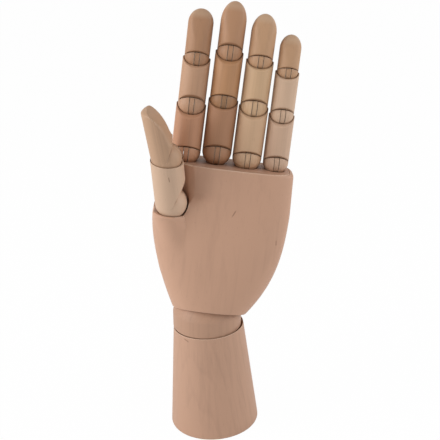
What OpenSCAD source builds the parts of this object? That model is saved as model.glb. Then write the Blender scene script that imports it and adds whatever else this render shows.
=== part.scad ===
// Jointed wooden artist's hand on a turned forearm stand, a left hand with its palm to the front.
// X runs from the thumb side to the little finger side, -Y is the palm side, Z is up.
// The origin is the centre of the stand's underside. All sizes are in millimetres.
// Each finger piece ends below in a slotted ball that sits in the cup of the piece under it.
// A tongue glued in the lower piece stands in the slot, and a steel pin through the ball hinges on it.

/* [Forearm stand] */
// Diameter of the foot
foot_d = 64; // [60:1:70]
// Diameter of the upper rim
rim_d = 50; // [49:0.5:52]
// Height of the stand
stand_h = 77; // [70:1:90]
// Rounding of the lower edge
foot_round = 1; // [0.5:0.5:3]
// Radius of the shallow cup in the top
stand_cup_r = 30; // [28:1:34]
// Width of the flat land round that cup
stand_land = 0.6; // [0.4:0.1:1]
// Diameter of the bore that holds the tension spring
spring_bore_d = 14; // [13:0.5:16]
// Diameter of the recess in the underside
anchor_recess_d = 22; // [20:1:26]
// Depth of the recess in the underside
anchor_recess_h = 12; // [10:1:16]
// Thickness of the plug that closes the recess
foot_plug_t = 4; // [2:0.5:5]

/* [Wrist] */
// Diameter of the wrist barrel
barrel_d = 48.4; // [47.6:0.2:48.4]
// Radius of the domed top of the barrel
barrel_dome_r = 24.9; // [24.8:0.1:25.4]
// Diameter of the bore through the barrel
barrel_bore_d = 28; // [26:0.5:29]
// Distance from the lower tilt centre down to the upper one
pivot_drop = 12; // [11:0.5:13]
// Lean of the barrel to the little finger side
barrel_lean = 3; // [0:0.5:5]
// Lean of the hand to the little finger side
hand_lean = 10.5; // [6:0.5:12]

/* [Tension spring and its anchors] */
// Radius of the spring wire
wire_r = 0.75; // [0.6:0.05:0.8]
// Mean radius of the coil
coil_r = 4.6; // [4:0.1:5]
// Number of turns
coil_turns = 18; // [12:1:24]
// Mean radius of the linked rings in the wrist
link_r = 6; // [5.8:0.1:6.4]
// Height by which each ring passes the tilt centre
link_pass = 1.8; // [1.6:0.1:2]
// Mean radius of the spring's lower loop
loop_r = 3.2; // [3:0.1:3.6]
// Radius of the anchor pin
anchor_pin_r = 1.25; // [1:0.05:1.3]
// Length of the anchor pin
anchor_pin_l = 18; // [17:0.5:19]
// Radius of the screw eye's shank
eye_shank_r = 1.2; // [1:0.1:1.6]
// Depth to which the screw eye goes into the palm
eye_depth = 20; // [14:1:26]

/* [Palm] */
// Reach of the palm to the little finger side
palm_right_w = 46.4; // [45:0.2:48]
// Reach of the palm to the thumb side
palm_left_w = 46.6; // [45:0.2:48]
// Half of its width at the wrist
neck_half_w = 24.9; // [24.7:0.1:26]
// Height of the palm above the wrist's tilt centre
palm_h = 114; // [108:1:118]
// Height at which the little finger side is at full width
right_full_z = 84; // [76:1:90]
// Height at which the thumb side is at full width
left_full_z = 76; // [72:1:80]
// Fullness of the little finger side above the wrist
right_fullness = 2.8; // [2.4:0.1:3.4]
// Fullness of the thumb side above the wrist
left_fullness = 1.6; // [1.4:0.1:2.2]
// Front of the palm at its top, from the finger axes
palm_front = 15.5; // [14.5:0.5:18]
// Back of the palm at its top, from the finger axes
palm_back = 13; // [12:0.5:16]
// Half of the palm's thickness at the wrist
neck_half_t = 25.4; // [24.8:0.2:27]
// Fullness of the front between the wrist and the top, where 1 is straight
front_curve = 2; // [1:0.1:3]
// Fullness of the back between the wrist and the top, where 1 is straight
back_curve = 1.15; // [1:0.05:1.6]
// Squareness of the palm's section at the top, where 2 is an ellipse
top_squareness = 3.7; // [3:0.1:4.5]
// Narrowing of each side at the top
top_taper = 1.8; // [1:0.2:3]
// Size of the rounded upper corners
top_corner = 4; // [2:0.5:5]
// Height of the palm's lower rim above the tilt centre
palm_rim_z = 6; // [5.5:0.5:8]
// Bevel of that rim on the palm side
palm_rim_bevel = 19; // [14:1:24]

/* [Fingers, from index to little] */
// Places of the fingers across the palm
finger_x = [-28.6, -8.2, 12.2, 31.7]; // [-32:0.1:34]
// Heights of the knuckle pivots above the palm's top
knuckle_rise = [6, 7.9, 6.2, 5.3]; // [5:0.1:9]
// Inward lean of each finger
finger_lean = [0, 0, 0.3, 1.2]; // [0:0.1:2]
// Diameters of the proximal pieces
proximal_d = [19.5, 19.5, 19.5, 17.1]; // [17:0.1:19.6]
// Diameters of the middle pieces
middle_d = [17.9, 18.1, 18, 15.7]; // [15.6:0.1:18.2]
// Diameters of the tip pieces
tip_d = [16.1, 16.4, 16.2, 13.9]; // [13.8:0.1:16.4]
// Lengths of the proximal pieces from pivot to pivot
proximal_l = [31.8, 35.1, 34.7, 32.4]; // [30:0.1:38]
// Lengths of the middle pieces from pivot to pivot
middle_l = [30.2, 31.2, 30.1, 28.2]; // [27:0.1:34]
// Lengths of the tip pieces from the pivot
tip_l = [30.4, 31.3, 29.1, 23.5]; // [23:0.1:34]
// Heights of the domed ends of the tip pieces
tip_dome_h = [9, 13, 12, 9]; // [8:0.5:13]
// Heights at which the pads of the tip pieces start
pad_z = [10.1, 10.4, 9.7, 7.8]; // [7:0.1:11]
// Radii of the curves that the pads fall back in
pad_curve_r = [40, 41, 40.5, 35]; // [34:0.5:46]
// Bevels of the openings at the knuckles
knuckle_bevel = [29, 35, 33, 36]; // [28:1:38]
// Bevels of the openings at the middle joints
middle_bevel = [39, 29, 36, 37]; // [28:1:39]
// Bevels of the openings at the tip joints
tip_bevel = [32, 38, 30, 29]; // [28:1:39]

/* [Thumb] */
// Distance of the thumb's base ball from the palm's axis to the thumb side
thumb_out = 34.6; // [34:0.1:36]
// Distance of that ball from the finger axes to the front
thumb_front = 15; // [13:0.5:16]
// Height of that ball above the wrist's tilt centre
thumb_up = 87.5; // [84:0.5:90]
// Outward lean of the thumb
thumb_lean = 11; // [8:1:13]
// Forward lean of the thumb
thumb_forward = 12; // [8:1:14]
// Further outward lean of its tip piece
thumb_tip_lean = 5; // [2:1:6]
// Diameter of the thumb's lower piece
thumb_d = 21.4; // [21.2:0.2:22]
// Diameter of the thumb's tip piece
thumb_tip_d = 20.2; // [19.6:0.2:20.4]
// Length of the lower piece from pivot to pivot
thumb_l = 33.6; // [31:0.2:36]
// Length of the tip piece from its pivot
thumb_tip_l = 35.6; // [33:0.2:37]
// Height of the domed end of the thumb
thumb_dome_h = 3; // [2:0.5:6]
// Height at which the pad of the thumb starts
thumb_pad_z = 8; // [6:0.5:10]
// Radius of the curve that the pad of the thumb falls back in
thumb_pad_curve_r = 36; // [33:1:40]
// Depth of wood taken off the thumb's front where that curve starts
thumb_pad_in = 4; // [3:0.2:4.4]
// Bevel above the thumb's base ball
thumb_bevel = 57; // [50:1:60]
// Bevel above the thumb's upper ball
thumb_tip_bevel = 61; // [55:1:63]
// Drop of the lower piece's rim below the upper pivot
thumb_cup_drop = 2.7; // [2.4:0.1:3.4]
// Fall of that rim to the palm side
thumb_cup_fall = 8.5; // [6:0.5:9]
// Depth of the socket's rim below the base ball's centre
thumb_rim_drop = 7.2; // [6:0.1:7.6]
// Radius of the mound round the thumb's socket
mound_r = 11; // [10.8:0.1:12]
// Distance from the ball's centre to the mound's, to the outside
mound_out = 0.9; // [0:0.1:1.5]
// Distance from the ball's centre to the mound's, to the back
mound_back = 1; // [0:0.1:1.5]
// Distance of the mound's foot from the palm's axis
mound_foot_out = 20; // [18:1:24]
// Height of the mound's foot
mound_foot_z = 42; // [38:1:50]
// Radius of the mound's foot
mound_foot_r = 18; // [16:0.5:19]
// Clearance round the lower piece where it passes the palm
thumb_room = 0.4; // [0.3:0.1:0.8]
// Angle by which that room lets the thumb bend to the palm
thumb_swing = 10; // [4:1:11]
// Angle by which it lets the thumb spread to the outside
thumb_spread = 20; // [10:1:24]
// Distance from the ball's centre to the cut that takes off the palm's side behind the thumb
thumb_side = 9; // [7:0.5:10]
// Radius of the hollow in the palm beside the thumb
hollow_r = 20.5; // [18:0.5:22]
// Distance of the hollow's centre from the ball's centre to the little finger side
hollow_in = 4.5; // [3:0.5:6]
// Distance of the hollow's centre from the ball's centre to the front
hollow_front = 18.5; // [17.5:0.5:21]
// Height of the hollow's centre above the ball's centre
hollow_up = 7; // [4:0.5:9]

/* [Joints of the fingers and the thumb] */
// Gap between a ball and its cup
cup_gap = 0.25; // [0.2:0.01:0.3]
// Height by which a cup's rim stays under the pivot
rim_drop = 0.3; // [0.2:0.1:0.4]
// Thickness of a tongue
tongue_t = 3; // [2.4:0.1:3.4]
// Gap at each side of a tongue in its slot
slot_gap = 0.3; // [0.2:0.05:0.4]
// Depth of a tongue's edge under the ball's surface
tongue_sink = 0.4; // [0.3:0.1:0.8]
// Angle by which a tongue's upper edge stays under the bevel
tongue_top = 3; // [2:0.5:6]
// Radius of a tongue round its pin
tongue_eye_r = 3.4; // [3:0.1:3.6]
// Radius of the stem under a tongue
stem_r = 2.5; // [2:0.1:2.6]
// Length of that stem
stem_l = 8; // [6:0.5:8]
// Depth of the cutter's groove between a ball and its bevel
kerf_depth = 0.8; // [0.4:0.1:1]
// Opening angle of that groove
kerf_angle = 5; // [3:0.5:7]
// Radius of a hinge pin
pin_r = 0.9; // [0.8:0.05:1.1]
// Running fit of the pin in the tongue
pin_fit = 0.06; // [0.04:0.01:0.1]
// Running fit of a turning stem in the palm
stem_fit = 0.06; // [0.04:0.01:0.1]
// Depth of a pin's head under the ball's side
pin_sink = 0.6; // [0.4:0.1:1]
// Wood left in front of the pin's blind end
pin_stop = 2.4; // [2:0.1:3]

/* [Hidden] */
$fn = 64;
FINGERS = ["index", "middle", "ring", "little"];
// Overlap of touching solids, the length by which a cutter passes a face, and a length beyond the whole hand
eps = 0.01;
over = 1;
far = 200;
// Clearance of the wrist's domes in their cups
cup_fit = 0.2;
wood_red = "#bd8f73";
wood_tan = "#c9a283";
wood_pale = "#d2ad8c";
wood_ball = "#b98c68";
steel = "#9a9da0";

// Lower dome of the barrel, and the centre that it shares with the stand's cup
barrel_foot_r = stand_cup_r - cup_fit;
stand_cup_rim_r = rim_d / 2 - stand_land;
barrel_pivot_z = stand_h + sqrt(pow(stand_cup_r, 2) - pow(stand_cup_rim_r, 2));
// Centre that the barrel's upper dome shares with the palm's cup
palm_pivot = [-pivot_drop * sin(barrel_lean), 0, barrel_pivot_z - pivot_drop * cos(barrel_lean)];
palm_cup_r = barrel_dome_r + cup_fit;

// Step of the angle in the rounding of the foot's edge
foot_step = 22.5;

// Heights of the spring's parts on the stand's axis, with the play of the pin and the loop
anchor_ledge_z = anchor_recess_h;
anchor_play = 0.1;
loop_play = 0.3;
coil_foot = 2;
coil_head = 3;
anchor_pin_z = anchor_ledge_z - anchor_pin_r - anchor_play;
loop_z = anchor_pin_z - anchor_pin_r - wire_r - loop_play + loop_r;
link_z = palm_pivot[2] + link_pass - link_r;
coil_z0 = loop_z + loop_r + coil_foot;
coil_z1 = link_z - link_r - coil_head;

// Knuckles, and the places of the thumb, its socket's rim and the parts of the palm round it
knuckle_z = [for (rise = knuckle_rise) palm_h + rise];
thumb_at = [-thumb_out, -thumb_front, thumb_up];
thumb_rim_z = thumb_up - thumb_rim_drop;
mound_foot = [-mound_foot_out, 0, mound_foot_z];
hollow_at = thumb_at + [hollow_in, -hollow_front, hollow_up];

// Half the width of a tongue's neck, whose corners stay inside the round of its stem
neck_half = sqrt(pow(stem_r - stem_fit, 2) - pow(tongue_t / 2, 2)) - stem_fit;

// Number of facets round the palm's section, and its sections as shares of the way from rim to top
palm_fn = 48;
palm_sections = [0, 0.05, 0.1, 0.16, 0.23, 0.32, 0.43, 0.57, 0.75];

// Frames that the pieces are drawn in
module on_barrel()
    translate([0, 0, barrel_pivot_z]) rotate([0, barrel_lean, 0]) children();

module on_hand()
    translate(palm_pivot) rotate([0, hand_lean, 0]) children();

// The level is 0 at the knuckle, 1 at the middle joint and 2 at the tip joint.
module on_finger(i, level) {
    up = (level > 0 ? proximal_l[i] : 0) + (level > 1 ? middle_l[i] : 0);
    on_hand()
        translate([finger_x[i], 0, knuckle_z[i]])
        rotate([0, -finger_lean[i], 0])
        translate([0, 0, up])
        children();
}

// Thumb's base ball, from the hand's frame
module on_thumb_base()
    translate(thumb_at) rotate([thumb_forward, -thumb_lean, 0]) children();

// The thumb's pieces are drawn like a finger's and turned so that they bend to the little finger side.
module on_thumb(level)
    on_hand()
        on_thumb_base()
        rotate([0, 0, 90])
        translate([0, 0, level > 0 ? thumb_l : 0])
        rotate([level > 0 ? -thumb_tip_lean : 0, 0, 0])
        children();

// Half space in front of the pivot and under a plane that rises forward from it
module under_bevel(bevel)
    rotate([-bevel, 0, 0]) translate([-far / 2, -far, -far]) cube([far, far, far]);

// Half space in front of the pivot and above a plane that falls forward from it
module over_bevel(bevel)
    rotate([bevel, 0, 0]) translate([-far / 2, -far, 0]) cube([far, far, far]);

// Everything above the pivot
module above()
    translate([-far / 2, -far / 2, 0]) cube([far, far, far]);

// Disc across the finger, centred on the pivot
module cross_disc(r, t)
    rotate([0, 90, 0]) cylinder(r = r, h = t, center = true);

// Outer form of the slot that is sawn in a ball
module slot(r, bevel) {
    width = tongue_t + 2 * slot_gap;
    intersection() {
        cross_disc(r - tongue_sink + slot_gap + eps, width);
        translate([-width / 2, -far, -far]) cube([width, far + tongue_eye_r + slot_gap, 2 * far]);
    }
    translate([-width / 2, -far / 2, -far]) cube([width, far, far]);
    intersection() {
        translate([-width / 2, -far, -eps]) cube([width, far, far]);
        under_bevel(bevel);
    }
}

// Wood of a piece that ends below in a slotted ball and is open above it on the palm side
module ball_end(r, bevel)
    difference() {
        children();
        difference() {
            under_bevel(bevel);
            sphere(r = r);
        }
        difference() {
            under_bevel(bevel);
            under_bevel(bevel - kerf_angle);
            sphere(r = r - kerf_depth);
        }
        slot(r, bevel);
        translate([pin_stop - r, 0, 0]) rotate([0, 90, 0]) cylinder(r = pin_r, h = 2 * r);
    }

// Cup for a ball, and the hole for the stem of the tongue that stands in it
module cup(r) {
    sphere(r = r + cup_gap);
    translate([0, 0, -r - cup_gap - stem_l]) cylinder(r = stem_r, h = stem_l + over);
}

// Piece with a ball below and a cup above, drawn from its own pivot. The rim lies by the drop under the next
// pivot. It falls to the palm side by the next bevel in front of that pivot, and by the fall all across.
module segment(d, l, bevel, next_d, next_bevel, next_lean = 0, drop = rim_drop, fall = 0) {
    r = d / 2;
    difference() {
        ball_end(r, bevel) {
            cylinder(r = r, h = l + r);
            sphere(r = r);
        }
        translate([0, 0, l - drop]) {
            rotate([fall, 0, 0]) above();
            over_bevel(next_bevel);
        }
        translate([0, 0, l]) rotate([-next_lean, 0, 0]) cup(next_d / 2);
    }
}

// Turned tip: straight sides and an elliptical dome
module dome_blank(r, l, dome_h) {
    steps = 14;
    rotate_extrude()
        polygon(concat(
            [[0, 0], [r, 0]],
            [for (k = [0:steps]) [r * cos(90 * k / steps), l - dome_h + dome_h * sin(90 * k / steps)]]));
    sphere(r = r);
}

// Tip piece: its pad side falls back in a long curve that starts at pad_start, pad_in behind the front
module tip_piece(d, l, bevel, dome_h, pad_start, curve_r, pad_in = 0) {
    r = d / 2;
    ball_end(r, bevel)
        intersection() {
            dome_blank(r, l, dome_h);
            union() {
                translate([0, curve_r - r + pad_in, pad_start]) cross_disc(curve_r, 4 * r);
                translate([-2 * r, -2 * r, -2 * r]) cube([4 * r, 4 * r, 2 * r + pad_start]);
            }
        }
}

// Flat tongue that stands in the slot, with its round stem below; it is drawn from the pivot that it carries
module tongue(d, bevel, fit = 0) {
    r = d / 2;
    difference() {
        union() {
            intersection() {
                cross_disc(r - tongue_sink, tongue_t);
                union() {
                    under_bevel(bevel - tongue_top);
                    translate([-far / 2, -far, -far]) cube([far, far, far]);
                }
            }
            cross_disc(tongue_eye_r, tongue_t);
            translate([-tongue_t / 2, -neck_half, -r - cup_gap - eps]) cube([tongue_t, 2 * neck_half, r]);
            translate([0, 0, -r - cup_gap - stem_l + fit]) cylinder(r = stem_r - fit, h = stem_l - fit);
        }
        cross_disc(pin_r + pin_fit, 2 * tongue_t);
    }
}

// Steel hinge pin, pressed in the ball from one side
module hinge_pin(d)
    translate([pin_stop - d / 2, 0, 0])
        rotate([0, 90, 0])
        cylinder(r = pin_r, h = d - pin_stop - pin_sink);

// Wire ring in the plane of X and Z
module wire_ring(r)
    rotate([90, 0, 0]) rotate_extrude() translate([r, 0]) circle(r = wire_r, $fn = 24);

// Wire coil along Z as one closed tube
module coil(r, z0, z1, turns) {
    around = 6;
    per_turn = 12;
    rings = turns * per_turn;
    rise = (z1 - z0) / rings;
    points = [for (i = [0:rings], j = [0:around - 1])
        let (a = 360 * i / per_turn, b = 360 * j / around, out = r + wire_r * cos(b))
        [out * cos(a), out * sin(a), z0 + rise * i + wire_r * sin(b)]];
    sides = [for (i = [0:rings - 1], j = [0:around - 1], half = [0, 1])
        let (a = i * around + j, b = i * around + (j + 1) % around)
        half == 0 ? [a, b, a + around] : [b, b + around, a + around]];
    caps = [for (j = [1:around - 2], end = [0, 1])
        end == 0 ? [0, j + 1, j] : [rings * around, rings * around + j, rings * around + j + 1]];
    polyhedron(points = points, faces = concat(sides, caps), convexity = 10);
}

module forearm_stand()
    color(wood_tan)
    difference() {
        rotate_extrude($fn = 96)
            polygon(concat(
                [[0, 0]],
                [for (a = [0:foot_step:90]) [foot_d / 2 - foot_round * (1 - sin(a)), foot_round * (1 - cos(a))]],
                [[rim_d / 2, stand_h], [0, stand_h]]));
        translate([0, 0, barrel_pivot_z]) sphere(r = stand_cup_r);
        translate([0, 0, -over]) cylinder(d = spring_bore_d, h = stand_h);
        translate([0, 0, -over]) cylinder(d = anchor_recess_d, h = anchor_ledge_z + over);
    }

module foot_plug()
    color(wood_ball)
    cylinder(d = anchor_recess_d, h = foot_plug_t);

module spring_anchor_pin()
    color(steel)
    translate([-anchor_pin_l / 2, 0, anchor_pin_z])
    rotate([0, 90, 0])
    cylinder(r = anchor_pin_r, h = anchor_pin_l);

module wrist_tension_spring()
    color(steel) {
        translate([0, 0, loop_z]) rotate([0, 0, 90]) wire_ring(loop_r);
        translate([0, 0, loop_z + loop_r]) cylinder(r = wire_r, h = coil_z0 - loop_z - loop_r + wire_r);
        translate([0, -wire_r, coil_z0 - wire_r]) cube([coil_r, 2 * wire_r, 2 * wire_r]);
        coil(coil_r, coil_z0, coil_z1, coil_turns);
        translate([0, -wire_r, coil_z1 - wire_r]) cube([coil_r, 2 * wire_r, 2 * wire_r]);
        translate([0, 0, coil_z1]) cylinder(r = wire_r, h = link_z - link_r - coil_z1);
        translate([0, 0, link_z]) wire_ring(link_r);
    }

module wrist_barrel()
    color(wood_tan)
    on_barrel()
    difference() {
        intersection() {
            cylinder(d = barrel_d, h = 4 * stand_cup_r, center = true, $fn = 96);
            sphere(r = barrel_foot_r);
            translate([0, 0, -pivot_drop]) {
                sphere(r = barrel_dome_r);
                translate([0, 0, -far]) cylinder(d = barrel_d, h = far);
            }
        }
        cylinder(d = barrel_bore_d, h = 4 * stand_cup_r, center = true);
    }

// Half widths and half thicknesses of the palm at the height z
function grown(z, full_z, fullness) = 1 - pow(1 - min(1, (z - palm_rim_z) / (full_z - palm_rim_z)), fullness);
function tapered(z, full_z) = top_taper * max(0, (z - full_z) / (palm_h - full_z));
function right_w(z) =
    neck_half_w + (palm_right_w - neck_half_w) * grown(z, right_full_z, right_fullness)
    - tapered(z, right_full_z);
function left_w(z) =
    neck_half_w + (palm_left_w - neck_half_w) * grown(z, left_full_z, left_fullness)
    - 2 * tapered(z, left_full_z);
function front_t(z) = neck_half_t - (neck_half_t - palm_front) * pow(z / palm_h, front_curve);
function back_t(z) = neck_half_t - (neck_half_t - palm_back) * pow(z / palm_h, back_curve);
function squareness(z) = 2 + (top_squareness - 2) * z / palm_h;
function signed_power(v, p) = sign(v) * pow(abs(v), p);

// Thin slice of the palm's block at the height z, drawn in by the inset at its sides
module palm_slice(z, inset = 0) {
    p = 2 / squareness(z);
    translate([0, 0, z - eps])
        linear_extrude(eps)
        polygon([for (k = [0:palm_fn - 1])
            let (c = cos(360 * k / palm_fn), s = sin(360 * k / palm_fn))
            [(c > 0 ? right_w(z) - inset : left_w(z) - inset) * signed_power(c, p),
             (s > 0 ? back_t(z) : front_t(z)) * signed_power(s, p)]]);
}

// The three upper slices of the palm's block make its rounded corners.
module palm_body() {
    soft = 0.3 * top_corner;
    hull() {
        for (share = palm_sections)
            palm_slice(palm_rim_z + eps + share * (palm_h - palm_rim_z));
        palm_slice(palm_h - top_corner);
        palm_slice(palm_h - soft, soft);
        palm_slice(palm_h, top_corner);
    }
    hull() {
        translate([thumb_at[0] - mound_out, thumb_at[1] + mound_back, thumb_rim_z - over])
            cylinder(r = mound_r, h = over, $fn = 32);
        translate(mound_foot) sphere(r = mound_foot_r, $fn = 32);
    }
}

// What is cut away above the thumb's socket: the palm's side behind the thumb, the room for the lower piece
// and a shallow hollow beside it
module thumb_cut()
    intersection() {
        translate([-far, -far, thumb_rim_z]) cube([2 * far, 2 * far, far]);
        union() {
            translate([-far, -far, 0]) cube([far + thumb_at[0] - thumb_side, 2 * far, 2 * far]);
            on_thumb_base()
                hull() {
                    for (swing = [-thumb_spread, 0, thumb_swing])
                        rotate([0, swing, 0]) cylinder(r = thumb_d / 2 + thumb_room, h = palm_h);
                    sphere(r = thumb_d / 2 + thumb_room);
                }
            translate(hollow_at) rotate([0, -thumb_lean, 0]) {
                sphere(r = hollow_r);
                cylinder(r = hollow_r, h = far);
            }
        }
    }

module palm()
    color(wood_red)
    on_hand()
    difference() {
        palm_body();
        // Lower rim, bevelled on the palm side
        translate([0, 0, palm_rim_z]) under_bevel(palm_rim_bevel);
        sphere(r = palm_cup_r, $fn = 96);
        cylinder(r = eye_shank_r, h = palm_cup_r + eye_depth);
        for (i = [0:3])
            translate([finger_x[i], 0, knuckle_z[i]]) rotate([0, -finger_lean[i], 0]) cup(proximal_d[i] / 2);
        thumb_cut();
        on_thumb_base() cup(thumb_d / 2);
    }

module palm_screw_eye()
    color(steel)
    on_hand() {
        translate([0, 0, link_r - link_pass]) rotate([0, 0, 90]) wire_ring(link_r);
        translate([0, 0, 2 * link_r - link_pass])
            cylinder(r = eye_shank_r, h = palm_cup_r + eye_depth - 2 * link_r + link_pass);
    }

module proximal(i)
    color(i < 2 ? wood_red : wood_pale)
    on_finger(i, 0)
    segment(proximal_d[i], proximal_l[i], knuckle_bevel[i], middle_d[i], middle_bevel[i]);

module middle(i)
    color(i < 2 ? wood_tan : wood_pale)
    on_finger(i, 1)
    segment(middle_d[i], middle_l[i], middle_bevel[i], tip_d[i], tip_bevel[i]);

module tip(i)
    color(wood_tan)
    on_finger(i, 2)
    tip_piece(tip_d[i], tip_l[i], tip_bevel[i], tip_dome_h[i], pad_z[i], pad_curve_r[i]);

module finger_tongue(i, level)
    color(wood_ball)
    on_finger(i, level)
    tongue([proximal_d, middle_d, tip_d][level][i], [knuckle_bevel, middle_bevel, tip_bevel][level][i],
        level == 0 ? stem_fit : 0);

module finger_pin(i, level)
    color(steel)
    on_finger(i, level)
    hinge_pin([proximal_d, middle_d, tip_d][level][i]);

module finger_nodes(i) {
    f = FINGERS[i];
    finger_tongue(i, 0);
    finger_pin(i, 0);
    proximal(i);
    finger_tongue(i, 1);
    finger_pin(i, 1);
    middle(i);
    finger_tongue(i, 2);
    finger_pin(i, 2);
    tip(i);
}

module thumb_base_tongue()
    color(wood_ball)
    on_thumb(0)
    tongue(thumb_d, thumb_bevel, stem_fit);

module thumb_base_pin()
    color(steel)
    on_thumb(0)
    hinge_pin(thumb_d);

module thumb_lower()
    color(wood_pale)
    on_thumb(0)
    segment(thumb_d, thumb_l, thumb_bevel, thumb_tip_d, 0, thumb_tip_lean, thumb_cup_drop, thumb_cup_fall);

module thumb_tip_tongue()
    color(wood_ball)
    on_thumb(1)
    tongue(thumb_tip_d, thumb_tip_bevel);

module thumb_tip_pin()
    color(steel)
    on_thumb(1)
    hinge_pin(thumb_tip_d);

module thumb_tip()
    color(wood_tan)
    on_thumb(1)
    tip_piece(
        thumb_tip_d, thumb_tip_l, thumb_tip_bevel, thumb_dome_h, thumb_pad_z, thumb_pad_curve_r, thumb_pad_in);

forearm_stand();
foot_plug();
spring_anchor_pin();
wrist_tension_spring();
wrist_barrel();
palm();
palm_screw_eye();
for (i = [0:3]) finger_nodes(i);
thumb_base_tongue();
thumb_base_pin();
thumb_lower();
thumb_tip_tongue();
thumb_tip_pin();
thumb_tip();
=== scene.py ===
import math

import bpy
import numpy as np
from mathutils import Matrix, Vector


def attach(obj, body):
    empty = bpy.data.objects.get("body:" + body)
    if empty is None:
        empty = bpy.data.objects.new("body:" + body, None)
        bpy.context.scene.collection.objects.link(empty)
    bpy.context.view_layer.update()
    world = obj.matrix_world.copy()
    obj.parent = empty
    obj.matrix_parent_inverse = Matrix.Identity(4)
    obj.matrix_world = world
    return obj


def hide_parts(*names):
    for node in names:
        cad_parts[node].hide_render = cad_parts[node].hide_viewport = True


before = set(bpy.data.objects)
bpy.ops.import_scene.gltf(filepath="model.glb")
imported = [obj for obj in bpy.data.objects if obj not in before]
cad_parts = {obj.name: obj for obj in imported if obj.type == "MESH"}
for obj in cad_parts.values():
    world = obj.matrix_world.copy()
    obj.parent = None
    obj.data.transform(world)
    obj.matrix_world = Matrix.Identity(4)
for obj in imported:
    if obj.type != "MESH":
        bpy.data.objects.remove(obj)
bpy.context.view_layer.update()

# Sizes of the hand in millimetres, the same as the frame's: a left hand, its palm to -Y, +X to the little finger.
STAND_H, FOOT_R, RIM_R, STAND_CUP_R, STAND_LAND = 77.0, 32.0, 25.0, 30.0, 0.6
SPRING_BORE_R, RECESS_R, RECESS_H = 7.0, 11.0, 12.0
BARREL_R, BARREL_DOME_R, BARREL_BORE_R, PIVOT_DROP, CUP_FIT = 24.2, 24.9, 14.0, 12.0, 0.2
BARREL_LEAN, HAND_LEAN = 3.0, 10.5
BARREL_PIVOT_Z = STAND_H + math.sqrt(STAND_CUP_R ** 2 - (RIM_R - STAND_LAND) ** 2)
FINGERS = ("index", "middle", "ring", "little")
FINGER_X = (-28.6, -8.2, 12.2, 31.7)
KNUCKLE_Z = (120.0, 121.9, 120.2, 119.3)
FINGER_LEAN = (0.0, 0.0, 0.3, 1.2)
PIECE_D = ((19.5, 19.5, 19.5, 17.1), (17.9, 18.1, 18.0, 15.7), (16.1, 16.4, 16.2, 13.9))
PIECE_L = ((31.8, 35.1, 34.7, 32.4), (30.2, 31.2, 30.1, 28.2), (30.4, 31.3, 29.1, 23.5))
BEVEL = ((29.0, 35.0, 33.0, 36.0), (39.0, 29.0, 36.0, 37.0), (32.0, 38.0, 30.0, 29.0))
TIP_DOME_H = (9.0, 13.0, 12.0, 9.0)
PAD_Z = (10.1, 10.4, 9.7, 7.8)
PAD_CURVE_R = (40.0, 41.0, 40.5, 35.0)
THUMB_AT, THUMB_LEAN, THUMB_FORWARD, THUMB_TIP_LEAN = (-34.6, -15.0, 87.5), 11.0, 12.0, 5.0
THUMB_D, THUMB_L, THUMB_TIP_D, THUMB_TIP_L, THUMB_DOME_H = 21.4, 33.6, 20.2, 35.6, 3.0
THUMB_PAD_Z, THUMB_PAD_CURVE_R, THUMB_PAD_IN, THUMB_BEVEL, THUMB_TIP_BEVEL = 8.0, 36.0, 4.0, 57.0, 61.0
THUMB_CUP_DROP, THUMB_CUP_FALL, THUMB_RIM_DROP, THUMB_GROOVE = 2.7, 8.5, 7.2, 0.15
CUP_GAP, RIM_DROP, TONGUE_T, SLOT_GAP, TONGUE_SINK, TONGUE_EYE_R = 0.25, 0.3, 3.0, 0.3, 0.4, 3.4
STEM_R, STEM_L, PIN_R, PIN_STOP, KERF_DEPTH, KERF_ANGLE = 2.5, 8.0, 0.9, 2.4, 0.8, 5.0
PALM_H, PALM_RIM_Z, PALM_RIM_BEVEL, TOP_CORNER = 114.0, 6.0, 19.0, 3.0
PALM_RIGHT_W, PALM_LEFT_W, NECK_HALF_W, NECK_HALF_T, PALM_FRONT, PALM_BACK = 46.4, 46.6, 24.9, 25.4, 15.5, 13.0
RIGHT_FULL_Z, LEFT_FULL_Z, TOP_TAPER, TOP_SQUARENESS = 84.0, 76.0, 1.8, 3.7
RIGHT_FULLNESS, LEFT_FULLNESS, FRONT_CURVE, BACK_CURVE = 2.8, 1.6, 2.0, 1.15
MOUND_R, MOUND_OUT, MOUND_BACK, MOUND_FOOT, MOUND_FOOT_R = 11.0, 0.9, 1.0, (-20.0, 0.0, 42.0), 18.0
THUMB_ROOM, THUMB_SWINGS, THUMB_SIDE = 0.4, (-20.0, -10.0, 0.0, 10.0), 9.0
HOLLOW_R, HOLLOW_AT, HOLLOW_WIDE_R, HOLLOW_RISE = 20.5, (-30.1, -33.5, 94.5), 40.0, 16.0
EYE_SHANK_R, EYE_DEPTH = 1.2, 20.0

# How far the finger pieces stay inside the solids, and the wear of their edges
HAIR, BEVEL_EDGE, CUP_EDGE, LIP_EDGE = 0.01, 0.8, 0.75, 0.35
# Widths in which the palm's forms run into each other, and the rounding of its edges
MOUND_SOFT, ROOM_SOFT, SIDE_SOFT, HOLLOW_SOFT, LEFT_SOFT = 3.0, 1.0, 1.5, 5.0, 0.5
MOUND_SHOULDER, HOLLOW_LEAD, PALM_RIM_EDGE, PALM_TOP_EDGE, ROOM_PLAY = 1.6, 13.0, 1.8, 0.8, 1.04
FOOT_EDGE, STAND_RIM_EDGE, BARREL_LOW_EDGE, BARREL_HIGH_EDGE = 1.2, 0.9, 0.6, 0.4
COLUMNS = 128
FAR = 500.0
MM = 0.001


def shift(x, y, z):
    """Matrix that moves by x, y and z."""
    m = np.eye(4)
    m[:3, 3] = x, y, z
    return m


def turn(axis, degrees):
    """Matrix that turns about X, Y or Z by the right-hand rule."""
    return np.array(Matrix.Rotation(math.radians(degrees), 4, axis))


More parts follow.
